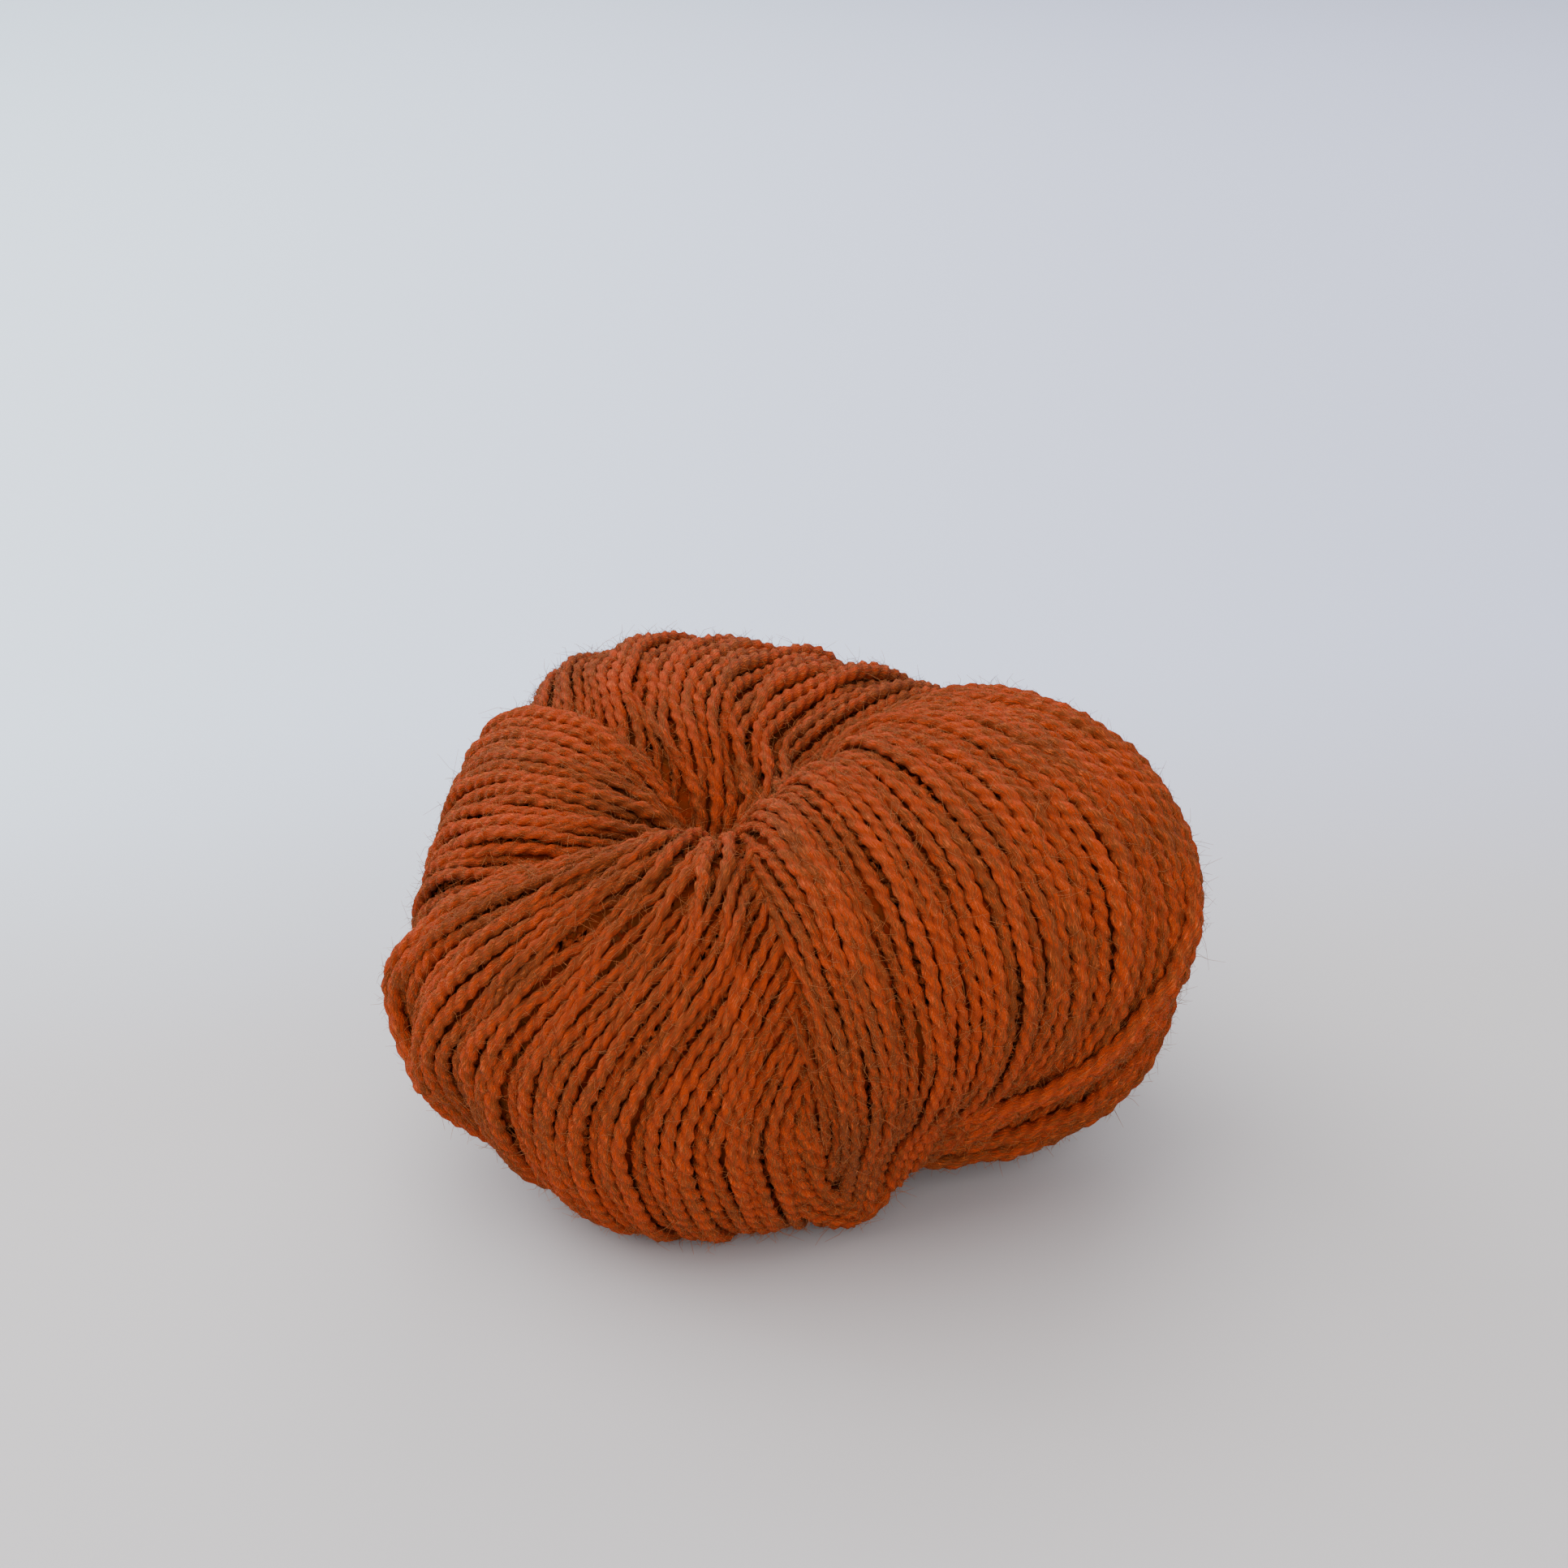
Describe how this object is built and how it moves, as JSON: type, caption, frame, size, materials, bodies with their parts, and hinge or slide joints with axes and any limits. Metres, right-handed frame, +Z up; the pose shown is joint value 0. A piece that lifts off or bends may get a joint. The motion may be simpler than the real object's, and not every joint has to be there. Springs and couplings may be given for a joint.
{
  "type": "yarn cake",
  "caption": "Soft wound ball of rust-orange two-ply wool yarn, with bands of turns that overlap round a funnel hollow on top; it rests on a settled flat foot.",
  "frame": {"origin": "on the resting plane, under the middle of the ball's width and depth", "axes": "+Z up, +X along the ball's width to the right, +Y to the back; the winding hollow faces up, leaning a little to the front left"},
  "size_m": [0.1052, 0.0948, 0.0653],
  "materials": {
    "wool_yarn": "matt, fuzzy two-ply wool, heathered rust orange and brown"
  },
  "bodies": {
    "root": {"yarn_cake": "wool_yarn"}
  },
  "joints": []
}
